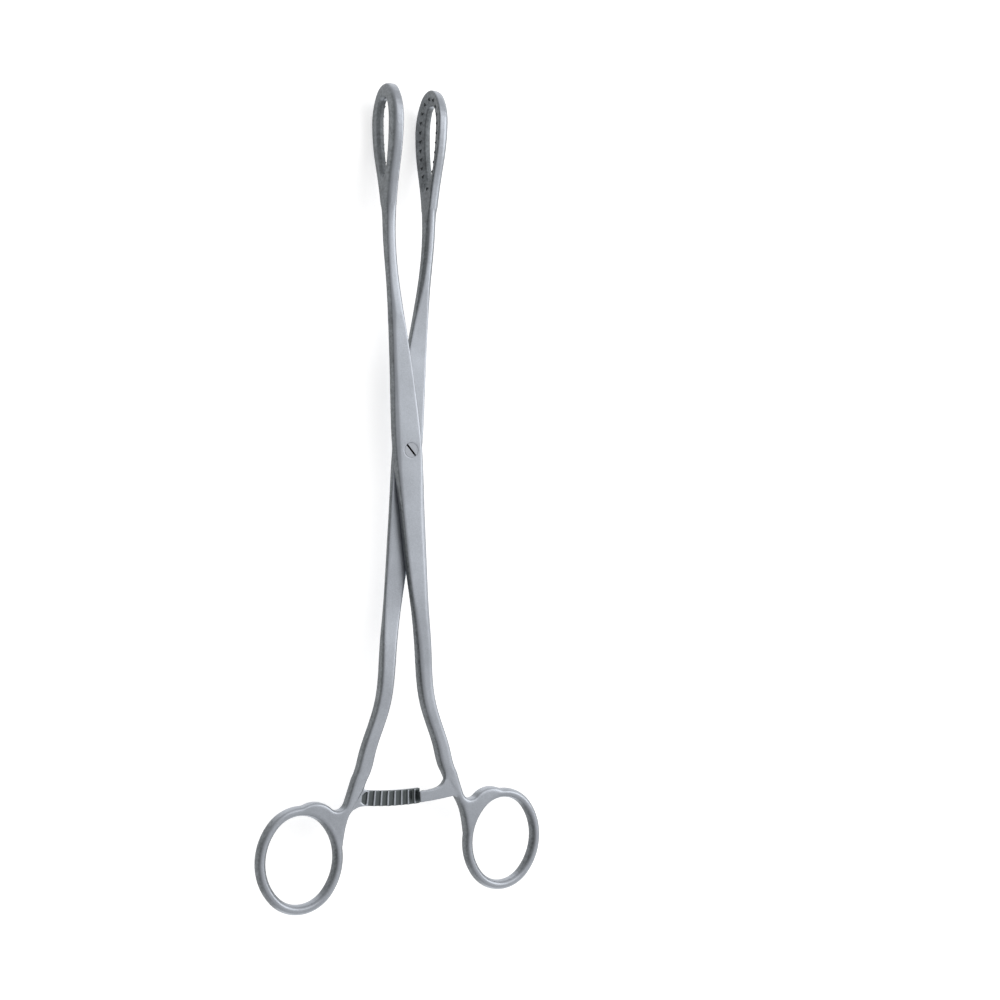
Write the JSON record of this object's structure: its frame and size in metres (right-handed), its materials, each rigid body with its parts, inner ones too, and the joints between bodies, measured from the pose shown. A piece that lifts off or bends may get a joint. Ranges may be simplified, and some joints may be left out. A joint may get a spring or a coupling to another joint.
{
  "type": "abortion forceps",
  "caption": "Ring-handled surgical forceps with crossing halves on a screw joint, oval windowed jaws with pointed teeth, and a ratchet between the shanks.",
  "frame": {"origin": "on the pivot axis, in the plane where the two halves lie on each other", "axes": "+X is the opening direction, towards the front half's finger ring; +Y runs along the forceps to the jaw tips; +Z runs along the pivot axis, out of the screw's slotted head"},
  "size_m": [0.1076, 0.28, 0.0188],
  "materials": {
    "front_half_steel": "satin",
    "rear_half_steel": "satin",
    "screw_steel": "satin"
  },
  "bodies": {
    "rear": {"rear_half": "rear_half_steel", "pivot_screw": "screw_steel"},
    "front": {"front_half": "front_half_steel"}
  },
  "joints": [
    {"name": "pivot", "type": "hinge", "parent": "rear", "child": "front", "pos_m": [0, 0, 0], "axis": [0, 0, 1], "range_deg": [-3.9, 30]}
  ]
}
